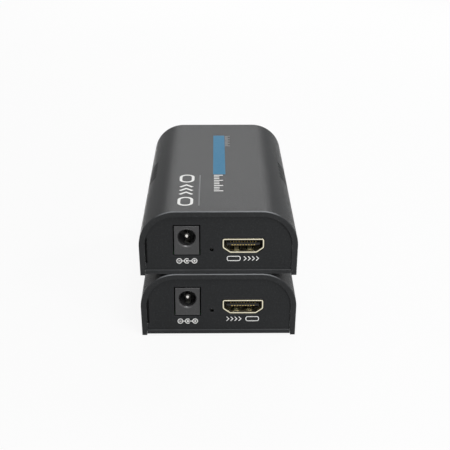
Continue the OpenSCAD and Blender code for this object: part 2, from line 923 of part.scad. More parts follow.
// Folded shield of the network jack with its mouth and two solder posts
module network_jack_shield() {
    color([0.78, 0.78, 0.76])
        at_rear(net_x) {
            difference() {
                translate([-net_w / 2, 0, 0])
                    cube([net_w, net_l, net_h]);
                translate([shield_t - net_w / 2, shield_t, -over])
                    cube([net_w - 2 * shield_t, net_l - 2 * shield_t, net_h - shield_t + over]);
                along_y(-over, shield_t + over)
                    polygon(grown(mouth_points, shield_rim));
            }
            translate([0, 0, shield_post_l])
                legs(shield_legs, lead_below + shield_post_l);
        }
}

// Paths of a network contact: the run in the moulding and the sprung part in the mouth
net_roof_z = mouth_top + net_wire_rise;
function net_tail_path(i) =
    [[net_tail_ys[i % 2], -board_t - lead_below], [net_tail_ys[i % 2], net_roof_z],
    [net_wire_front + net_wire_bend, net_roof_z]];
function net_wire_path(i) = concat(net_tail_path(i),
    [[net_wire_front, net_roof_z - net_wire_bend],
    [net_wire_front + net_wire_bend, net_roof_z - 2 * net_wire_bend],
    [net_wire_deep, mouth_top - net_wire_drop]]);

// Moulding inside the network jack: mouth, comb for the contacts, and two pegs
module network_jack_insert() {
    body_w = net_w - 2 * (shield_t + shield_gap);
    body_y = shield_t + shield_gap;
    color([0.08, 0.08, 0.09])
        at_rear(net_x) {
            difference() {
                translate([-body_w / 2, body_y, 0])
                    cube([body_w, net_l - 2 * body_y, net_h - body_y]);
                along_y(-over, mouth_l)
                    polygon(mouth_points);
                for (i = [0 : net_wire_count - 1])
                    translate([net_wire_x(i), 0, 0]) {
                        bent_strip(net_tail_path(i), net_wire_t + 2 * contact_gap,
                            net_wire_w + 2 * contact_gap);
                        translate([-net_wire_w / 2 - contact_gap, net_comb_y, mouth_top - over])
                            cube([net_wire_w + 2 * contact_gap, mouth_l - net_comb_y,
                                over + net_wire_rise + net_wire_t / 2 + contact_gap]);
                    }
            }
            for (side = [-1, 1])
                translate([side * peg_x, peg_y, -board_t - short_leg_below])
                    cylinder(r = peg_r, h = board_t + short_leg_below + catch_z / 2, $fn = small_fn);
        }
}

// The eight sprung contacts of the network jack
module network_jack_contacts() {
    color([0.85, 0.72, 0.35])
        at_rear(net_x)
            for (i = [0 : net_wire_count - 1])
                translate([net_wire_x(i), 0, 0])
                    bent_strip(net_wire_path(i), net_wire_t, net_wire_w);
}

// Path of an infrared contact, seen from behind: foot, riser and end beside the bore
ir_leaf_path = [[ir_w / 2 + ir_leaf_t + ir_foot_out, ir_leaf_t / 2],
    [ir_w / 2 + ir_leaf_t, ir_leaf_t / 2], [ir_w / 2 + ir_leaf_t, ir_bore_z],
    [ir_bore_r + ir_leaf_gap, ir_bore_z]];

// Places something at each infrared contact, on alternate sides
module at_ir_leaves() {
    for (i = [0 : len(ir_leaf_ys) - 1])
        translate([0, ir_leaf_ys[i], 0])
            mirror([i % 2, 0, 0])
                children();
}

// Infrared jack with its nose, bore and the side windows of its contacts
module infrared_jack_body() {
    color([0.1, 0.1, 0.1])
        at_rear(ir_x)
            difference() {
                union() {
                    translate([-ir_w / 2, ir_nose_l, 0])
                        cube([ir_w, ir_l, ir_h]);
                    translate([0, 0, ir_bore_z])
                        bar_y(ir_nose_r, ir_nose_l + over);
                }
                translate([0, -over, ir_bore_z])
                    bar_y(ir_bore_r, ir_bore_l + over);
                translate([0, 0, ir_bore_z])
                    bar_y(ir_bore_r + ir_rim, ir_rim, ir_bore_r);
                at_ir_leaves()
                    translate([0, -ir_leaf_l / 2 - lead_gap, ir_bore_z - ir_leaf_t / 2 - lead_gap])
                        cube([ir_w, ir_leaf_l + 2 * lead_gap, ir_leaf_t + 2 * lead_gap]);
            }
}

// The three contacts of the infrared jack
module infrared_jack_contacts() {
    color([0.78, 0.77, 0.74])
        at_rear(ir_x)
            at_ir_leaves()
                along_y(-ir_leaf_l / 2, ir_leaf_l / 2)
                    polygon(strip_outline(ir_leaf_path, ir_leaf_t));
}

// Two status lights on bent legs
module status_leds() {
    leg_path = [[led_rear_y - led_flange_l / 2, led_z], [led_rear_y + led_leg_back, led_z],
        [led_rear_y + led_leg_back, -board_t - lead_below]];
    color([0.75, 0.85, 0.7])
        at_rear()
            for (x = led_xs)
                translate([x, 0, 0]) {
                    translate([0, 0, led_z]) {
                        translate([0, led_r - led_out, 0])
                            sphere(led_r, $fn = small_fn);
                        translate([0, led_r - led_out, 0])
                            bar_y(led_r, led_body_l - led_r);
                        translate([0, led_body_l - led_out, 0])
                            bar_y(led_flange_r, led_flange_l);
                    }
                    for (side = [-1, 1])
                        translate([side * led_leg_pitch / 2, 0, 0])
                            bent_strip(leg_path, led_leg_t, led_leg_t);
                }
}

// A row of bent leads along the side of a chip that faces inwards
module lead_row(count, pitch, edge, height) {
    path = [[edge - lead_in, height / 2], [edge + lead_foot / 2, height / 2],
        [edge + lead_out - lead_foot, lead_t / 2], [edge + lead_out, lead_t / 2]];
    for (i = [0 : count - 1])
        translate([(i - (count - 1) / 2) * pitch, 0, 0])
            bent_strip(path, lead_t, lead_w);
}

// A chip: body with a dot at its first lead, and leads along the given turns
module chip(size, count, pitch, turns) {
    difference() {
        translate([-size[0] / 2, -size[1] / 2, chip_stand])
            cube(size);
        translate([dot_in - size[0] / 2, dot_in - size[1] / 2, chip_stand + size[2] - dot_deep])
            cylinder(r = dot_r, h = dot_deep + over, $fn = small_fn);
    }
    for (turn = turns)
        rotate([0, 0, turn])
            lead_row(count, pitch, (turn % 180 == 0 ? size[1] : size[0]) / 2, size[2] + chip_stand);
}

module processor_chip() {
    color([0.1, 0.1, 0.1])
        on_board(processor_place_shares)
            chip(processor_size, processor_leads, processor_lead_pitch, [0, 90, 180, 270]);
}

module video_chip() {
    color([0.1, 0.1, 0.1])
        on_board(video_chip_place_shares)
            chip(video_chip_size, video_leads, video_lead_pitch, [0, 90, 180, 270]);
}

module memory_chip() {
    color([0.1, 0.1, 0.1])
        on_board(memory_place_shares)
            chip(memory_size, memory_leads, memory_lead_pitch, [90, 270]);
}

module network_transformer() {
    color([0.12, 0.12, 0.12])
        on_board([transformer_x_share, transformer_y / board_l])
            chip(transformer_size, transformer_leads, transformer_lead_pitch, [0, 180]);
}

// Finned heat sink that stands on the processor
module heat_sink() {
    fin_pitch = (sink_size[0] - sink_fin_t) / (sink_fins - 1);
    color([0.7, 0.71, 0.72])
        on_board(processor_place_shares)
            translate([-sink_size[0] / 2, -sink_size[1] / 2, chip_stand + processor_size[2]]) {
                cube([sink_size[0], sink_size[1], sink_floor]);
                for (i = [0 : sink_fins - 1])
                    translate([i * fin_pitch, 0, 0])
                        cube([sink_fin_t, sink_size[1], sink_size[2]]);
            }
}

// Crystal: long can with round ends on a flat rim
module crystal() {
    rim = crystal_size + [2 * crystal_rim, 2 * crystal_rim, 0];
    color([0.8, 0.8, 0.8])
        on_board(crystal_place_shares) {
            linear_extrude(crystal_size[2])
                polygon(rounded_rectangle(crystal_size[0], crystal_size[1],
                    crystal_round_share * crystal_size[1]));
            linear_extrude(crystal_rim_h)
                polygon(rounded_rectangle(rim[0], rim[1], crystal_round_share * rim[1]));
        }
}

// Shielded inductor: block with a ring groove round its core
module power_inductor() {
    color([0.3, 0.3, 0.3])
        on_board(inductor_place_shares)
            difference() {
                linear_extrude(inductor_size[2])
                    polygon(rounded_rectangle(inductor_size[0], inductor_size[1], inductor_corner_r));
                translate([0, 0, inductor_size[2] - inductor_ring_deep])
                    difference() {
                        cylinder(r = inductor_core_r + inductor_ring_w, h = inductor_ring_deep + over,
                            $fn = small_fn);
                        translate([0, 0, -over])
                            cylinder(r = inductor_core_r, h = inductor_ring_deep + 3 * over,
                                $fn = small_fn);
                    }
            }
}

// Capacitors: necked cans on square bases
module capacitors() {
    color([0.72, 0.72, 0.74])
        for (place_shares = capacitor_place_shares)
            on_board(place_shares) {
                linear_extrude(can_base_h)
                    polygon(rounded_rectangle(can_base_w, can_base_w, can_base_corner_r));
                cylinder(r = can_neck_r, h = can_h, $fn = small_fn);
                cylinder(r = can_r, h = can_neck_z, $fn = small_fn);
                translate([0, 0, can_neck_z + can_neck_h])
                    cylinder(r = can_r, h = can_h - can_neck_z - can_neck_h, $fn = small_fn);
            }
}

// True when a piece of a unit is to be drawn
function shows(unit, piece) = node == "all" || node == str(UNITS[unit], "_", piece);

// The receiver stands on the transmitter
module stacked(unit) {
    translate([0, 0, unit * stack_pitch])
        children();
}

for (unit = [0 : len(UNITS) - 1]) {
    if (shows(unit, "hood")) stacked(unit) hood();
    if (shows(unit, "base_plate")) stacked(unit) base_plate();
    if (shows(unit, "front_panel")) stacked(unit) front_panel();
    if (shows(unit, "rear_panel")) stacked(unit) rear_panel();
    if (shows(unit, "case_screws")) stacked(unit) case_screws();
    if (shows(unit, "main_board")) stacked(unit) main_board();
    if (shows(unit, "board_screws")) stacked(unit) board_screws();
    if (shows(unit, "dc_jack_body")) stacked(unit) dc_jack_body();
    if (shows(unit, "dc_jack_pin")) stacked(unit) dc_jack_pin();
    if (shows(unit, "dc_jack_contacts")) stacked(unit) dc_jack_contacts();
    if (shows(unit, "video_port_shell")) stacked(unit) video_port_shell();
    if (shows(unit, "video_port_tongue")) stacked(unit) video_port_tongue();
    if (shows(unit, "video_port_contacts")) stacked(unit) video_port_contacts();
    if (shows(unit, "reset_switch_body")) stacked(unit) reset_switch_body();
    if (shows(unit, "reset_plunger")) stacked(unit) reset_plunger();
    if (shows(unit, "network_jack_shield")) stacked(unit) network_jack_shield();
    if (shows(unit, "network_jack_insert")) stacked(unit) network_jack_insert();
    if (shows(unit, "network_jack_contacts")) stacked(unit) network_jack_contacts();
    if (shows(unit, "infrared_jack_body")) stacked(unit) infrared_jack_body();
    if (shows(unit, "infrared_jack_contacts")) stacked(unit) infrared_jack_contacts();
    if (shows(unit, "status_leds")) stacked(unit) status_leds();
    if (shows(unit, "network_transformer")) stacked(unit) network_transformer();
    if (shows(unit, "processor_chip")) stacked(unit) processor_chip();
    if (shows(unit, "heat_sink")) stacked(unit) heat_sink();
    if (shows(unit, "memory_chip")) stacked(unit) memory_chip();
    if (shows(unit, "video_chip")) stacked(unit) video_chip();
    if (shows(unit, "crystal")) stacked(unit) crystal();
    if (shows(unit, "power_inductor")) stacked(unit) power_inductor();
    if (shows(unit, "capacitors")) stacked(unit) capacitors();
}
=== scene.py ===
"""Looks of a video extender set: a transmitter box with its receiver box stacked on top.

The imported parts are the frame. The visible castings and sheets are copied, cleaned and given rounded edges,
prints are laid on them, and every surface gets a procedural material. Lengths are in metres; a number times
MM is in millimetres.
"""
import json
from math import cos, pi, radians, sin

import bmesh
import bpy
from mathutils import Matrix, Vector


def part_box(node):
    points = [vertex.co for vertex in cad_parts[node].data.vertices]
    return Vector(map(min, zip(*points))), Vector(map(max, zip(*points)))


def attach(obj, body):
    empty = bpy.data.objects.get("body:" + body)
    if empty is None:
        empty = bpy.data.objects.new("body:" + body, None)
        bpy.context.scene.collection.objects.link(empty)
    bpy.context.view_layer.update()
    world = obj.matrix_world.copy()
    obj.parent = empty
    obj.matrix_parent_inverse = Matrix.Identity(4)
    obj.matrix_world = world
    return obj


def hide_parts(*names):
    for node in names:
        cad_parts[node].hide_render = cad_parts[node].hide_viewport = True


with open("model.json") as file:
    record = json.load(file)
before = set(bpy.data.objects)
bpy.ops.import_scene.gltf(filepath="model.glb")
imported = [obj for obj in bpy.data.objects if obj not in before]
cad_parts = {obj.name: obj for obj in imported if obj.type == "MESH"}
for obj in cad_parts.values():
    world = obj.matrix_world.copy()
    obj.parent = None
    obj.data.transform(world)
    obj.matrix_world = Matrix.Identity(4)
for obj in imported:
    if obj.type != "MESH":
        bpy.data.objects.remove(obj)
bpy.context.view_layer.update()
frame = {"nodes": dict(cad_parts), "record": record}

MM = 0.001
UNITS = ("transmitter", "receiver")
SLOT_OF = {part["node"]: part["material_slot"] for part in frame["record"]["subparts"]}
BODY_OF = {node: body for body, nodes in frame["record"]["behaviour"]["bodies"].items() for node in nodes}
RIGHT, BACK, UP = Vector((1, 0, 0)), Vector((0, 1, 0)), Vector((0, 0, 1))


def add_object(name, data):
    """A new object in the scene."""
    made = bpy.data.objects.new(name, data)
    bpy.context.scene.collection.objects.link(made)
    return made


def mesh_object(name, bm, material):
    """A new object from a finished bmesh, in one material."""
    mesh = bpy.data.meshes.new(name)
    bm.to_mesh(mesh)
    bm.free()
    mesh.materials.append(material)
    return add_object(name, mesh)


# Camera, solved on the edges of the upper unit in the photograph
CAMERA_PLACE = Vector((-0.0006, -0.3896, 0.1765))
CAMERA_PITCH = radians(21.63)
CAMERA_YAW = radians(0.51)
CAMERA_LENS = 80.4
CAMERA_CLIP = (0.01, 20)


def make_camera():
    data = bpy.data.cameras.new("camera")
    data.lens = CAMERA_LENS
    data.clip_start, data.clip_end = CAMERA_CLIP
    camera = add_object("camera", data)
    camera.location = CAMERA_PLACE
    camera.rotation_euler = (pi / 2 - CAMERA_PITCH, 0, -CAMERA_YAW)
    bpy.context.scene.camera = camera


# Colours


def srgb(red, green, blue):
    """A colour given as it shows on a screen, from 0 to 255, as linear values."""
    out = []
    for level in (red, green, blue):
        share = level / 255
        out.append(share / 12.92 if share <= 0.04045 else ((share + 0.055) / 1.055) ** 2.4)
    return (*out, 1.0)


def lighter(color, factor):
    """The colour made lighter by a factor, or darker by a factor below 1."""
    return (*[min(1.0, level * factor) for level in color[:3]], 1.0)


# Materials: one Principled shader each, with its variation made by nodes

FINISHES = {}
# Per face, the share of the painted highlight and the wear on rounded edges
EDGE_LAYER = "edge_wear_and_highlight"
MIDDLE = {"start": 0.3, "end": 0.7}  # holds most values of a noise


class Finish:
    """A material in the making: the shader, and short calls that add its nodes."""

    def __init__(self, name, color, roughness, **uniform):
        """Uniform values, the same all over the surface, are set on the shader's own sockets."""
        material = bpy.data.materials.new(name)
        material.use_nodes = True
        FINISHES[name] = material
        self.nodes = material.node_tree.nodes
        self.links = material.node_tree.links
        self.shader = self.nodes["Principled BSDF"]
        self.relief = None
        for key, value in {"Base_Color": color, "Roughness": roughness, **uniform}.items():
            self.shader.inputs[key.replace("_", " ")].default_value = value

    def add(self, kind, settings=None, **inputs):
        """A new node. An input goes by its name, or by its number as _0, _1 and so on.

        An input that is a socket is linked, and any other is set.
        """
        node = self.nodes.new(kind)
        for key, value in (settings or {}).items():
            setattr(node, key, value)
        for key, value in inputs.items():
            socket = node.inputs[int(key[1:]) if key[1:].isdigit() else key.replace("_", " ")]
            if isinstance(value, bpy.types.NodeSocket):
                self.links.new(value, socket)
            else:
                socket.default_value = value
        return node

    def place(self, stretch=(1, 1, 1)):
        """Object coordinates, in metres, stretched along an axis."""
        coordinates = self.add("ShaderNodeTexCoord").outputs["Object"]
        return self.add("ShaderNodeMapping", Vector=coordinates, Scale=stretch).outputs[0]

    def noise(self, size, detail, rough=0.5, stretch=(1, 1, 1)):
        """Noise from 0 to 1 whose blotches are about that size, in metres."""
        node = self.add("ShaderNodeTexNoise", Vector=self.place(stretch), Scale=1 / size, Detail=detail,
                        Roughness=rough)
        return node.outputs["Fac"]

    def span(self, value, low, high, start=0.0, end=1.0):
        """The value's range from start to end, spread from low to high and clamped."""
        node = self.add("ShaderNodeMapRange", Value=value, From_Min=start, From_Max=end, To_Min=low,
                        To_Max=high)
        return node.outputs["Result"]

    def math(self, operation, first, second):
        return self.add("ShaderNodeMath", {"operation": operation}, _0=first, _1=second).outputs[0]

    def blend(self, share, first, second):
        """A colour mixed from two by a share."""
        return self.add("ShaderNodeMix", {"data_type": "RGBA"}, _0=share, _6=first, _7=second).outputs[2]

    def edge(self):
        """How strong the painted highlight and the wear are on the rounded edges of a dressed piece, and 0
        elsewhere.
        """
        return self.add("ShaderNodeAttribute", {"attribute_name": EDGE_LAYER}).outputs["Fac"]

    def paint(self, color):
        """Takes the base colour from a node."""
        self.links.new(color, self.shader.inputs["Base Color"])

    def dull(self, value):
        """Takes the roughness from a node."""
        self.links.new(value, self.shader.inputs["Roughness"])

    def bump(self, height, depth):
        """Relief of the given depth."""
        node = self.add("ShaderNodeBump", Height=height, Distance=depth, Strength=1.0)
        self.relief = node.outputs["Normal"]
        self.links.new(self.relief, self.shader.inputs["Normal"])


# Satin plastic
GRAIN_SIZE = 0.32 * MM
GRAIN_DEPTH = 0.06 * MM
BLOTCH_SIZE = 22 * MM
BLOTCH_TONE = 0.06
BLOTCH_ROUGHNESS = 0.04
SPECK_SHARE = 0.6
SPECK_LIGHT = 1.4
SCUFF_SIZE = 5 * MM
SCUFF_STRETCH = (1, 0.12, 1)
SCUFF_SHARE = 0.25
SCUFF_LIGHT = 1.5
# Rounded edges are painted pale: a painted highlight, far lighter than their wear alone
PAINTED_EDGE_HIGHLIGHT = 9.0
HIGHLIGHT_AND_WEAR_LEAST = 0.7
RUBBED_SMOOTHER = 0.12
VARNISH_ROUGHNESS = 0.29
RIM_ROUGHNESS = 0.12


def moulded_plastic(name, color, roughness, gloss, grain=1.0, varnish=0.0, rim=0.0):
    """Spark-eroded plastic: fine grain, soft blotches, faint scuffs, and edges rubbed smoother under a
    painted highlight that makes them pale.

    A varnish gives a soft reflection over the grain, and a rim a pale glow on the outline.
    """
    f = Finish(name, color, roughness, Specular_IOR_Level=gloss, Coat_Weight=varnish,
               Coat_Roughness=VARNISH_ROUGHNESS, Sheen_Weight=rim, Sheen_Roughness=RIM_ROUGHNESS)
    blotch = f.noise(BLOTCH_SIZE, detail=3.0)
    speck = f.span(f.noise(GRAIN_SIZE * 2, detail=1.0), 0, SPECK_SHARE, start=0.5, end=0.75)
    streaks = f.noise(SCUFF_SIZE, detail=6.0, rough=0.7, stretch=SCUFF_STRETCH)
    scuff = f.span(streaks, 0, SCUFF_SHARE, start=0.62, end=0.8)
    # Painted highlight on the rounded edges, patchy, together with their wear: it pales the colour and makes
    # the roughness smoother
    worn_and_highlit = f.math("MULTIPLY", f.edge(), f.span(blotch, HIGHLIGHT_AND_WEAR_LEAST, 1, start=0.35, end=0.6))
    darkest, lightest = lighter(color, 1 - BLOTCH_TONE), lighter(color, 1 + BLOTCH_TONE)
    tone = f.blend(f.span(blotch, 0, 1, **MIDDLE), darkest, lightest)
    tone = f.blend(speck, tone, lighter(color, SPECK_LIGHT))
    tone = f.blend(scuff, tone, lighter(color, SCUFF_LIGHT))
    f.paint(f.blend(worn_and_highlit, tone, lighter(color, PAINTED_EDGE_HIGHLIGHT)))
    patchy = f.span(blotch, roughness - BLOTCH_ROUGHNESS, roughness + BLOTCH_ROUGHNESS, **MIDDLE)
    f.dull(f.math("SUBTRACT", patchy, f.math("MULTIPLY", worn_and_highlit, RUBBED_SMOOTHER)))
    f.bump(f.noise(GRAIN_SIZE, detail=2.0), GRAIN_DEPTH * grain)
    f.links.new(f.relief, f.shader.inputs["Coat Normal"])


# Plated or rolled metal
TARNISH_SIZE = 3 * MM
TARNISH_SHARE = 0.5
TARNISH_TONE = 0.72
TARNISH_ROUGHER = 0.1
STREAK_SIZE = 0.15 * MM
STREAK_SMOOTHER = 0.06
STREAK_ROUGHER = 0.08
STREAK_DEPTH = 0.002 * MM


def sheet_metal(name, color, roughness, brushed):
    """Plated or rolled metal: drawn lines or a fine orange peel, and a patchy tarnish."""
    f = Finish(name, color, roughness, Metallic=1.0)
    patch = f.noise(TARNISH_SIZE, detail=4.0)
    lines = f.noise(STREAK_SIZE, detail=3.0, stretch=brushed)
    tarnish = f.span(patch, 0, TARNISH_SHARE, start=0.45, end=0.8)
    f.paint(f.blend(tarnish, color, lighter(color, TARNISH_TONE)))
    streak = f.span(lines, roughness - STREAK_SMOOTHER, roughness + STREAK_ROUGHER, **MIDDLE)
    f.dull(f.math("ADD", streak, f.span(patch, 0, TARNISH_ROUGHER, start=0.5, end=0.8)))
    f.bump(lines, STREAK_DEPTH)


# Circuit board
MASK_GREEN = srgb(18, 74, 36)
TRACK_GREEN = srgb(44, 118, 60)
WEAVE_GREEN = srgb(12, 56, 28)
TRACK_LENGTH = 4.2 * MM
TRACK_PITCH = 1.3 * MM
TRACK_WIDTH = 0.16 * MM
TRACK_HEIGHT = 0.03 * MM
WEAVE_SIZE = 0.5 * MM
WEAVE_SHARE = 0.3


def board_laminate(name):
    """Green solder mask over copper: tracks show as lighter lines a shade above the glass weave."""
    f = Finish(name, MASK_GREEN, roughness=0.32, Coat_Weight=0.4, Coat_Roughness=0.15)
    cells = f.add("ShaderNodeTexBrick", {"offset": 0.5, "squash": 0.6, "squash_frequency": 3},
                  Vector=f.place(), Scale=1.0, Brick_Width=TRACK_LENGTH, Row_Height=TRACK_PITCH,
                  Mortar_Size=TRACK_WIDTH, Mortar_Smooth=0.1).outputs["Fac"]
    weave = f.noise(WEAVE_SIZE, detail=1.0)
    copper = f.blend(cells, MASK_GREEN, TRACK_GREEN)
    f.paint(f.blend(f.span(weave, 0, WEAVE_SHARE, start=0.4, end=0.7), copper, WEAVE_GREEN))
    f.dull(f.span(weave, low=0.26, high=0.4, **MIDDLE))
    f.bump(cells, TRACK_HEIGHT)


# Clear epoxy
LENS_GREEN = srgb(168, 214, 150)
FLOW_GREEN = srgb(120, 178, 108)
FLOW_SIZE = 1.2 * MM
FLOW_SHARE = 0.4
FLOW_DEPTH = 0.004 * MM


def lens_epoxy(name):
    """Tinted clear epoxy of the status lights, with faint flow lines."""
    f = Finish(name, LENS_GREEN, roughness=0.12, Transmission_Weight=0.55, IOR=1.53)
    flow = f.noise(FLOW_SIZE, detail=2.0, stretch=(1, 0.4, 1))
    f.paint(f.blend(f.span(flow, 0, FLOW_SHARE, start=0.35, end=0.7), LENS_GREEN, FLOW_GREEN))
    f.dull(f.span(flow, low=0.08, high=0.2, **MIDDLE))
    f.bump(flow, FLOW_DEPTH)


# Ferrite
FERRITE_GREY = srgb(58, 58, 60)
PIT_TONE = 0.8
CRYSTAL_TONE = 1.4
CRYSTAL_SIZE = 0.25 * MM
CRYSTAL_DEPTH = 0.02 * MM


def ceramic_ferrite(name):
    """Ground ferrite: dark grey, with pits and lighter crystals."""
    f = Finish(name, FERRITE_GREY, roughness=0.55)
    crystals = f.add("ShaderNodeTexVoronoi", Vector=f.place(), Scale=1 / CRYSTAL_SIZE).outputs["Distance"]
    depth = f.span(crystals, 0, 1, start=0.2, end=0.7)
    f.paint(f.blend(depth, lighter(FERRITE_GREY, CRYSTAL_TONE), lighter(FERRITE_GREY, PIT_TONE)))
    f.dull(f.span(crystals, low=0.4, high=0.7))
    f.bump(crystals, CRYSTAL_DEPTH)


# Pad print
INK_ROUGHNESS = 0.6
INK_SMOOTHER = 0.05
INK_ROUGHER = 0.1
INK_GLOSS = 0.08
WEAR_SIZE = 1.6 * MM
WEAR_SHARE = 0.3
WEAR_TONE = 0.8
WEAR_DEPTH = 0.002 * MM
PINHOLE_SIZE = 0.12 * MM
PINHOLE_SHARE = 0.4
PINHOLE_TONE = 0.6


def printed_ink(name, color):
    """Pad print: an even film with pinholes, thinner towards its worn patches."""
    f = Finish(name, color, INK_ROUGHNESS, Specular_IOR_Level=INK_GLOSS)
    wear = f.noise(WEAR_SIZE, detail=5.0, rough=0.65)
    holes = f.span(f.noise(PINHOLE_SIZE, detail=2.0), 0, PINHOLE_SHARE, start=0.66, end=0.8)
    film = f.blend(f.span(wear, 0, WEAR_SHARE, start=0.5, end=0.8), color, lighter(color, WEAR_TONE))
    f.paint(f.blend(holes, film, lighter(color, PINHOLE_TONE)))
    f.dull(f.span(wear, INK_ROUGHNESS - INK_SMOOTHER, INK_ROUGHNESS + INK_ROUGHER, start=0.3, end=0.8))
    f.bump(wear, WEAR_DEPTH)


CASE_GREY = srgb(46, 47, 48)
CASE_COAT = {"varnish": 0.2, "rim": 0.85}
GOLD = srgb(236, 208, 134)
# Colour, roughness and gloss, then what differs from plain moulded plastic
PLASTICS = {
    "hood_plastic": (CASE_GREY, 0.6, 0.0, CASE_COAT),
    "base_plastic": (CASE_GREY, 0.6, 0.0, CASE_COAT),
    "panel_plastic": (srgb(44, 45, 46), 0.6, 0.04, {"grain": 0.7, "varnish": 0.05}),
    "socket_plastic": (srgb(53, 53, 54), 0.25, 0.5, {"grain": 0.2}),
    "black_moulding": (srgb(34, 34, 35), 0.48, 0.3, {"grain": 0.6}),
    "switch_plastic": (srgb(36, 36, 37), 0.5, 0.3, {"grain": 0.6}),
    "plunger_plastic": (srgb(196, 196, 190), 0.45, 0.4, {"grain": 0.5}),
    "chip_epoxy": (srgb(38, 38, 39), 0.6, 0.3, {"grain": 1.4}),
}
# Colour and roughness, then how far the noise is stretched into brushed lines
METALS = {
    "black_screw_steel": (srgb(70, 70, 72), 0.45, (1, 1, 1)),
    "zinc_screw_steel": (srgb(205, 205, 198), 0.3, (1, 1, 1)),
    "pin_nickel": (srgb(232, 230, 225), 0.16, (1, 1, 1)),
    "tinned_contact": (srgb(205, 205, 200), 0.34, (1, 1, 1)),
    "gold_plated_shell": (srgb(236, 229, 204), 0.3, (1, 1, 1)),
    "gold_contact": (GOLD, 0.24, (1, 1, 1)),
    "gold_tip": (GOLD, 0.3, (1, 1, 1)),
    "nickel_shield": (srgb(214, 212, 206), 0.26, (1, 0.05, 1)),
    "sink_aluminium": (srgb(206, 208, 210), 0.34, (1, 0.04, 1)),
    "crystal_can": (srgb(214, 214, 212), 0.22, (1, 1, 1)),
    "capacitor_can": (srgb(214, 215, 218), 0.24, (1, 1, 0.1)),
}
INKS = {
    "white_ink": srgb(238, 238, 236),
    "grey_ink": srgb(166, 167, 168),
    "faint_ink": srgb(120, 121, 122),
    "blue_ink": srgb(48, 117, 153),
}


def make_finishes():
    """Makes every material, by the name of its slot in the record, and the inks of the prints."""
    for name, (color, roughness, gloss, extra) in PLASTICS.items():
        moulded_plastic(name, color, roughness, gloss, **extra)
    for name, (color, roughness, brushed) in METALS.items():
        sheet_metal(name, color, roughness, brushed)
    for name, color in INKS.items():
        printed_ink(name, color)
    board_laminate("board_laminate")
    lens_epoxy("led_lens")
    ceramic_ferrite("ferrite")


def finish_nodes():
    """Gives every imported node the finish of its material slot."""
    for name, node in frame["nodes"].items():
        for slot in node.material_slots:
            slot.material = FINISHES[SLOT_OF[name]]


# Dressed pieces: clean copies of packed castings and sheets with rounded edges

SHARP = radians(35)
FLAT = radians(0.3)
WELD = 0.001 * MM
# How the painted highlight and wear on rounded edges fade from the top of a casing onto its flanks, where
# less light falls
TOP_SLOPE = 0.84
TOP_FADE = 0.15
LEAST_ACROSS = 0.01
FLANK_HIGHLIGHT_AND_WEAR = 0.06


def clean_copy(name):
    """The node's mesh with its corners welded and its flat faces made whole again."""
    bm = bmesh.new()
    bm.from_mesh(frame["nodes"][name].data)
    for layer in list(bm.loops.layers.float_vector.values()):
        bm.loops.layers.float_vector.remove(layer)
    bmesh.ops.remove_doubles(bm, verts=bm.verts, dist=WELD)
    bmesh.ops.dissolve_limit(bm, angle_limit=FLAT, verts=bm.verts, edges=bm.edges, delimit={"NORMAL"})
    bmesh.ops.recalc_face_normals(bm, faces=bm.faces)
    return bm


def upward(normal):
    """1 where a casing that runs along Y looks up or straight down, fading to 0 on its flanks."""
    across = max(LEAST_ACROSS, Vector((normal.x, normal.z)).length)
    return min(1.0, max(0.0, (abs(normal.z) / across - TOP_SLOPE) / TOP_FADE))


def round_edges(bm, layer, chosen, width, segments, highlight_and_wear):
    """Rounds the chosen edges, and marks the new faces with how strong their painted highlight and wear are,
    less on the flanks, where less light falls.
    """
    made = bmesh.ops.bevel(bm, geom=chosen, offset=width, offset_type="OFFSET", segments=segments,
                           profile=0.5, affect="EDGES", clamp_overlap=True)
    bm.normal_update()
    for face in made["faces"]:
        for loop in face.loops:
            # Painted highlight: strongest where the rounded edge faces up to the light, faint on the flanks
            loop[layer] = highlight_and_wear * (FLANK_HIGHLIGHT_AND_WEAR + (1 - FLANK_HIGHLIGHT_AND_WEAR) * upward(loop.vert.normal))


def sharp_edges(bm, *corners):
    """Every edge where faces meet at an angle.

    Whatever chooses edges to round is given the piece's lowest and highest corner; this needs neither.
    """
    return [edge for edge in bm.edges if len(edge.link_faces) == 2 and edge.calc_face_angle() > SHARP]


def outer_end_edges(bm, low, high):
    """Sharp edges round the outside of both ends of a casing that runs along Y."""
    at_ends = [edge for edge in sharp_edges(bm)
               if any(all(abs(v.co.y - y) < WELD for v in edge.verts) for y in (low.y, high.y))]
    heights = [v.co.z for edge in at_ends for v in edge.verts]
    middle_z = (min(heights) + max(heights)) / 2
    found = []
    for edge in at_ends:
        side = min(edge.link_faces, key=lambda face: abs(face.normal.y))
        middle = (edge.verts[0].co + edge.verts[1].co) / 2
        if side.normal.dot(Vector((middle.x, 0, middle.z - middle_z))) > 0:
            found.append(edge)
    return found


# Rounded edges of each piece: which ones, width, segments, and how strong their painted highlight and wear
# are
END_ROUND = 0.35 * MM
SOCKET_ROUND = 0.22 * MM
PANEL_ROUND = 0.12 * MM
SMALL_ROUND = 0.1 * MM
SHEET_ROUND = 0.09 * MM
ROUNDS = {
    "hood": [(outer_end_edges, END_ROUND, 3, 1.0), (sharp_edges, SMALL_ROUND, 2, 0.25)],
    # The base plate's end edges get the strongest painted highlight, a pale line along the foot of each end
    "base_plate": [(outer_end_edges, END_ROUND, 3, 1.5), (sharp_edges, SMALL_ROUND, 2, 0.25)],
    "front_panel": [(sharp_edges, PANEL_ROUND, 2, 0.25)],
    "rear_panel": [(sharp_edges, PANEL_ROUND, 2, 0.25)],
    "dc_jack_body": [(sharp_edges, SOCKET_ROUND, 3, 0.6)],
    "video_port_shell": [(sharp_edges, SHEET_ROUND, 2, 0.0)],
    "network_jack_shield": [(sharp_edges, SHEET_ROUND, 2, 0.0)],
}


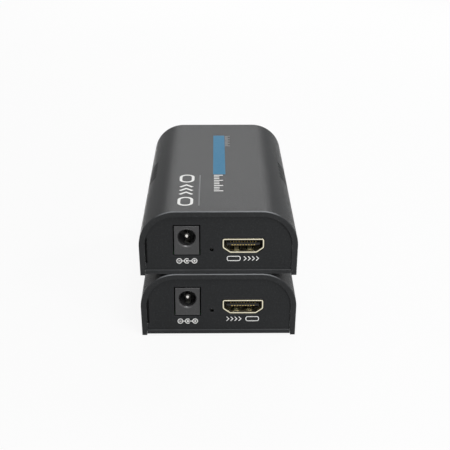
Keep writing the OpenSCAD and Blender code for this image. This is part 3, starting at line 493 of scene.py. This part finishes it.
def dress(unit, piece):
    """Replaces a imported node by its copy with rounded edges."""
    name = f"{unit}_{piece}"
    low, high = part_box(name)
    bm = clean_copy(name)
    layer = bm.loops.layers.float.new(EDGE_LAYER)
    for choose, width, segments, highlight_and_wear in ROUNDS[piece]:
        round_edges(bm, layer, choose(bm, low, high), width, segments, highlight_and_wear)
    bmesh.ops.dissolve_degenerate(bm, dist=WELD, edges=bm.edges)
    dressed = mesh_object(f"{name}_dressed", bm, FINISHES[SLOT_OF[name]])
    dressed.data.shade_smooth()
    weighted = dressed.modifiers.new("weighted_normals", "WEIGHTED_NORMAL")
    weighted.keep_sharp = True
    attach(dressed, BODY_OF[name])
    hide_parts(name)


# Prints: thin films laid on a face, drawn in millimetres across and along it

INK_SINK = 0.01
INK_RISE = 0.025
MITRE_LIMIT = 0.4
CORNER_STEPS = 5
CIRCLE_STEPS = 24


def quarter_turn(run):
    """The direction to the left of a run."""
    return Vector((-run.y, run.x))


def stroke(points, width, closed=False):
    """A line of even width through the points, as four-sided patches that share their corners."""
    path = [Vector(p) for p in points]
    count = len(path)
    runs = [(path[(i + 1) % count] - path[i]).normalized() for i in range(count)]
    left, right = [], []
    for i, point in enumerate(path):
        into = runs[i - 1] if i > 0 or closed else runs[0]
        out = runs[i] if i < count - 1 or closed else into
        normal = (quarter_turn(into) + quarter_turn(out)).normalized()
        reach = width / 2 / max(MITRE_LIMIT, normal.dot(quarter_turn(into)))
        left.append(point + normal * reach)
        right.append(point - normal * reach)
    patches = []
    for i in range(count if closed else count - 1):
        j = (i + 1) % count
        patches.append((i, j, count + j, count + i))
    return left + right, patches


def patch(points):
    """A filled outline."""
    return [Vector(p) for p in points], [tuple(range(len(points)))]


def arc(centre, radius, start, end, steps):
    """Points of an arc between two angles in degrees."""
    angles = [radians(start + (end - start) * i / steps) for i in range(steps + 1)]
    return [(centre[0] + radius * cos(angle), centre[1] + radius * sin(angle)) for angle in angles]


def circle(centre, radius):
    """Points all round a circle, the first one not repeated."""
    return arc(centre, radius, 0, 360 * (1 - 1 / CIRCLE_STEPS), CIRCLE_STEPS - 1)


def round_box(x0, y0, x1, y1, radius):
    """Points of a box with rounded corners."""
    left, right, bottom, top = x0 + radius, x1 - radius, y0 + radius, y1 - radius
    centres = [(right, bottom), (right, top), (left, top), (left, bottom)]
    points = []
    for i, centre in enumerate(centres):
        points += arc(centre, radius, 90 * (i - 1), 90 * i, CORNER_STEPS)
    return points


def lay_print(name, body, ink, origin, across, along, shapes):
    """Lays shapes, in millimetres, as a film of ink on the plane through origin."""
    normal = across.cross(along).normalized()
    bm = bmesh.new()
    for corners, patches in shapes:
        verts = [bm.verts.new(origin + (across * x + along * y - normal * INK_SINK) * MM) for x, y in corners]
        for indices in patches:
            bm.faces.new([verts[i] for i in indices])
    made = bmesh.ops.extrude_face_region(bm, geom=bm.faces[:])
    raised = [item for item in made["geom"] if isinstance(item, bmesh.types.BMVert)]
    bmesh.ops.translate(bm, verts=raised, vec=normal * (INK_SINK + INK_RISE) * MM)
    bmesh.ops.recalc_face_normals(bm, faces=bm.faces)
    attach(mesh_object(name, bm, FINISHES[ink]), body)


SCREEN_CORNER = 2.2  # corner radius, in widths of the line


def screen(x0, y0, x1, y1, width):
    """Outline of a screen."""
    inset = width / 2
    outline = round_box(x0 + inset, y0 + inset, x1 - inset, y1 - inset, SCREEN_CORNER * width)
    return stroke(outline, width, closed=True)


def chevron(tip, size, width, heading):
    """An open arrow head with its tip at a point, along a heading of length 1."""
    tip, heading = Vector(tip), Vector(heading)
    side = quarter_turn(heading)
    return stroke([tip + (side - heading) * size, tip, tip - (side + heading) * size], width)


# Places of the prints on the hood's top: from the middle across, and from the front end along
MARK_X = (-14.9, -9.15)
MARK_Y = (5.9, 40.6)
MARK_LINE = 1.05
MARK_SCREEN = 9.2
MARK_CHEVRONS = 3
HAIRLINE_X = -7.0
HAIRLINE_Y = (5.9, 40.0)
HAIRLINE_WIDTH = 0.5
TICKS_X = (-1.6, 1.9)
TICKS_Y = (21.3, 40.2)
TICK_COUNT = 10
TICK_WIDTH = 0.85
STRIPE_X = (-1.95, 2.9)
STRIPE_Y = (40.9, 94.1)
STRIPE_CORNER = 0.5
FINE_X = (3.1, 5.2)
FINE_Y = (78.6, 93.3)
FINE_COUNT = 13
FINE_WIDTH = 0.4
LONG_TICK_EVERY = 3
SHORT_TICK = 0.6


def link_mark():
    """Two screens joined by arrow heads: video sent from one to the other."""
    x0, x1 = MARK_X
    y0, y1 = MARK_Y
    middle = (x0 + x1) / 2
    size = (x1 - x0) / 2 - MARK_LINE / 2
    gap = (y1 - y0 - 2 * MARK_SCREEN) / (MARK_CHEVRONS + 1)
    shapes = [screen(x0, y0, x1, y0 + MARK_SCREEN, MARK_LINE),
              screen(x0, y1 - MARK_SCREEN, x1, y1, MARK_LINE)]
    for i in range(MARK_CHEVRONS):
        tip = (middle, y0 + MARK_SCREEN + gap * (i + 1) + size / 2)
        shapes.append(chevron(tip, size, MARK_LINE, (0, 1)))
    return shapes


def tick_row(x_range, y_range, count, width):
    """A ladder of ticks, some of them long."""
    x0, x1 = x_range
    pitch = (y_range[1] - y_range[0] - width) / (count - 1)
    shapes = []
    for i in range(count):
        reach = 1.0 if i % LONG_TICK_EVERY == 0 else SHORT_TICK
        y = y_range[0] + width / 2 + i * pitch
        shapes.append(stroke([(x0, y), (x0 + (x1 - x0) * reach, y)], width))
    return shapes


def print_top(unit):
    """The stripe with its mark, hairline and ticks on the flat of a hood."""
    low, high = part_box(f"{unit}_hood")
    origin = Vector((0, low.y, high.z))
    hairline = stroke([(HAIRLINE_X, y) for y in HAIRLINE_Y], HAIRLINE_WIDTH)
    stripe = patch(round_box(STRIPE_X[0], STRIPE_Y[0], STRIPE_X[1], STRIPE_Y[1], STRIPE_CORNER))
    prints = [("link_mark", "white_ink", link_mark()),
              ("hairline", "faint_ink", [hairline]),
              ("ticks", "white_ink", tick_row(TICKS_X, TICKS_Y, TICK_COUNT, TICK_WIDTH)),
              ("stripe", "blue_ink", [stripe]),
              ("fine_ticks", "grey_ink", tick_row(FINE_X, FINE_Y, FINE_COUNT, FINE_WIDTH))]
    for name, ink, shapes in prints:
        lay_print(f"{unit}_{name}", unit, ink, origin, RIGHT, BACK, shapes)


# Prints on the front panel, under the sockets
LABEL_LINE = 0.3
POLARITY_DROP = 2.48
POLARITY_HALF = 3.8
POLARITY_RADIUS = 0.9
POLARITY_SIGN = 0.5  # half length of a sign, in radii
POLARITY_DOT = 0.42
POLARITY_OPENING = 45
POLARITY_STEPS = 16
SIGNAL_DROP = 2.7
SIGNAL_HALF = 6.0
SIGNAL_RISE = 1.0
SIGNAL_SCREEN = 0.42  # share of the mark's length
ARROW_COUNT = 4
ARROW_PITCH = 1.5
ARROW_REACH = 0.8
ARROW_GAP = 1.2


def polarity_mark():
    """Minus on the sleeve and plus on the pin, the usual sign beside a barrel socket."""
    r, w = POLARITY_RADIUS, LABEL_LINE
    side = POLARITY_HALF - r - w / 2
    sign = r * POLARITY_SIGN
    dot = r * POLARITY_DOT
    lines = [[(-side - sign, 0), (-side + sign, 0)],
             [(side - sign, 0), (side + sign, 0)],
             [(side, -sign), (side, -w / 2)],
             [(side, w / 2), (side, sign)],
             [(-side + r + w / 2, 0), (-r - w / 2, 0)],
             [(dot, 0), (side - r - w / 2, 0)],
             arc((0, 0), r, POLARITY_OPENING, 360 - POLARITY_OPENING, POLARITY_STEPS)]
    rings = [stroke(circle((x, 0), r), w, closed=True) for x in (-side, side)]
    return rings + [stroke(line, w) for line in lines] + [patch(circle((0, 0), dot))]


def signal_mark(outward):
    """Arrow heads into a screen, or out of one."""
    w, h, end = LABEL_LINE, SIGNAL_RISE, SIGNAL_HALF
    length = 2 * end * SIGNAL_SCREEN
    left = -end if outward else end - length
    first = (left + length + ARROW_GAP if outward else -end) + ARROW_REACH
    arrows = [chevron((first + i * ARROW_PITCH, 0), h - w / 2, w, (1, 0)) for i in range(ARROW_COUNT)]
    return [screen(left, -h, left + length, h, w)] + arrows


def print_front(unit):
    """The marks under the power socket and the video port."""
    panel_low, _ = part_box(f"{unit}_front_panel")
    marks = [("polarity_mark", "dc_jack_body", POLARITY_DROP, polarity_mark()),
             ("signal_mark", "video_port_tongue", SIGNAL_DROP, signal_mark(unit == "receiver"))]
    for name, socket, drop, shapes in marks:
        low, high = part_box(f"{unit}_{socket}")
        under = Vector(((low.x + high.x) / 2, panel_low.y, low.z - drop * MM))
        lay_print(f"{unit}_{name}", unit, "white_ink", under, RIGHT, UP, shapes)


# Ends of the lower row of contacts on the tongue
TIP_COUNT = 9
TIP_PITCH = 1.0
TIP_WIDTH = 0.45
TIP_HEIGHT = 0.22


def print_tips(unit):
    """The ends of the lower row of contacts, which show along the foot of the tongue's front face."""
    name = f"{unit}_video_port_tongue"
    low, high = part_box(name)
    front = [v.co.z for v in frame["nodes"][name].data.vertices if v.co.y < low.y + WELD]
    foot = Vector(((low.x + high.x) / 2, low.y, min(front) + TIP_HEIGHT * MM / 2))
    tips = []
    for i in range(TIP_COUNT):
        middle = (i - (TIP_COUNT - 1) / 2) * TIP_PITCH
        tips.append(stroke([(middle - TIP_WIDTH / 2, 0), (middle + TIP_WIDTH / 2, 0)], TIP_HEIGHT))
    lay_print(f"{unit}_contact_tips", unit, "gold_tip", foot, RIGHT, UP, tips)


# Stage: a pale floor, soft lamps and a white surround

FLOOR_SIZE = 30.0
FLOOR_TONE = (0.86, 0.86, 0.86, 1)
FLOOR_GLOW = 0.9
WHITE = (1, 1, 1, 1)
WORLD_FILL = 0.2
LAMP_TARGET = Vector((0, 0, 0.03))
# Place, width and height, and power in watts
LAMPS = {
    "back_box": ((0.0, 0.9, 0.46), (0.5, 0.25), 2.6),
    "overhead_box": ((0.1, -0.35, 0.9), (0.35, 0.35), 4),
    "right_strip": ((0.6, 0.5, 0.25), (0.2, 0.6), 2),
    "front_fill": ((0.6, -0.75, 0.3), (0.5, 0.4), 3.8),
}


def show_instead(tree, lighting, shown, share, output):
    """Mixes in a share of the shown shader for the camera, mirrors and glass, but not for lighting rays."""
    nodes, links = tree.nodes, tree.links
    path = nodes.new("ShaderNodeLightPath")
    seen = path.outputs["Is Camera Ray"]
    for ray in ("Is Glossy Ray", "Is Transmission Ray"):
        either = nodes.new("ShaderNodeMath")
        either.operation = "MAXIMUM"
        links.new(seen, either.inputs[0])
        links.new(path.outputs[ray], either.inputs[1])
        seen = either.outputs[0]
    part = nodes.new("ShaderNodeMath")
    part.operation = "MULTIPLY"
    part.inputs[1].default_value = share
    links.new(seen, part.inputs[0])
    mix = nodes.new("ShaderNodeMixShader")
    for source, socket in zip((part, lighting, shown), mix.inputs):
        links.new(source.outputs[0], socket)
    links.new(mix.outputs[0], nodes.new(output).inputs[0])


def make_floor():
    """A pale floor that keeps the object's shadow and shows white."""
    material = bpy.data.materials.new("floor_paper")
    material.use_nodes = True
    nodes = material.node_tree.nodes
    nodes.clear()
    paper = nodes.new("ShaderNodeBsdfDiffuse")
    paper.inputs["Color"].default_value = FLOOR_TONE
    glow = nodes.new("ShaderNodeEmission")
    show_instead(material.node_tree, paper, glow, FLOOR_GLOW, "ShaderNodeOutputMaterial")
    bm = bmesh.new()
    half = FLOOR_SIZE / 2
    corners = [(-half, -half, 0), (half, -half, 0), (half, half, 0), (-half, half, 0)]
    bm.faces.new([bm.verts.new(corner) for corner in corners])
    mesh_object("floor", bm, material)


def make_world():
    """A dim surround to the object that shows white."""
    world = bpy.data.worlds.new("surround")
    bpy.context.scene.world = world
    world.use_nodes = True
    nodes = world.node_tree.nodes
    nodes.clear()
    fill = nodes.new("ShaderNodeBackground")
    fill.inputs["Strength"].default_value = WORLD_FILL
    white = nodes.new("ShaderNodeBackground")
    for background in (fill, white):
        background.inputs["Color"].default_value = WHITE
    show_instead(world.node_tree, fill, white, 1.0, "ShaderNodeOutputWorld")


def light_stage():
    for name, (place, size, power) in LAMPS.items():
        data = bpy.data.lights.new(name, "AREA")
        data.shape = "RECTANGLE"
        data.size, data.size_y = size
        data.energy = power
        lamp = add_object(name, data)
        lamp.location = place
        lamp.rotation_euler = (LAMP_TARGET - Vector(place)).to_track_quat("-Z", "Y").to_euler()


make_camera()
make_finishes()
finish_nodes()
for unit_name in UNITS:
    for piece_name in ROUNDS:
        dress(unit_name, piece_name)
    print_front(unit_name)
    print_tips(unit_name)
    print_top(unit_name)
make_floor()
make_world()
light_stage()
bpy.context.scene.view_settings.view_transform = "Standard"
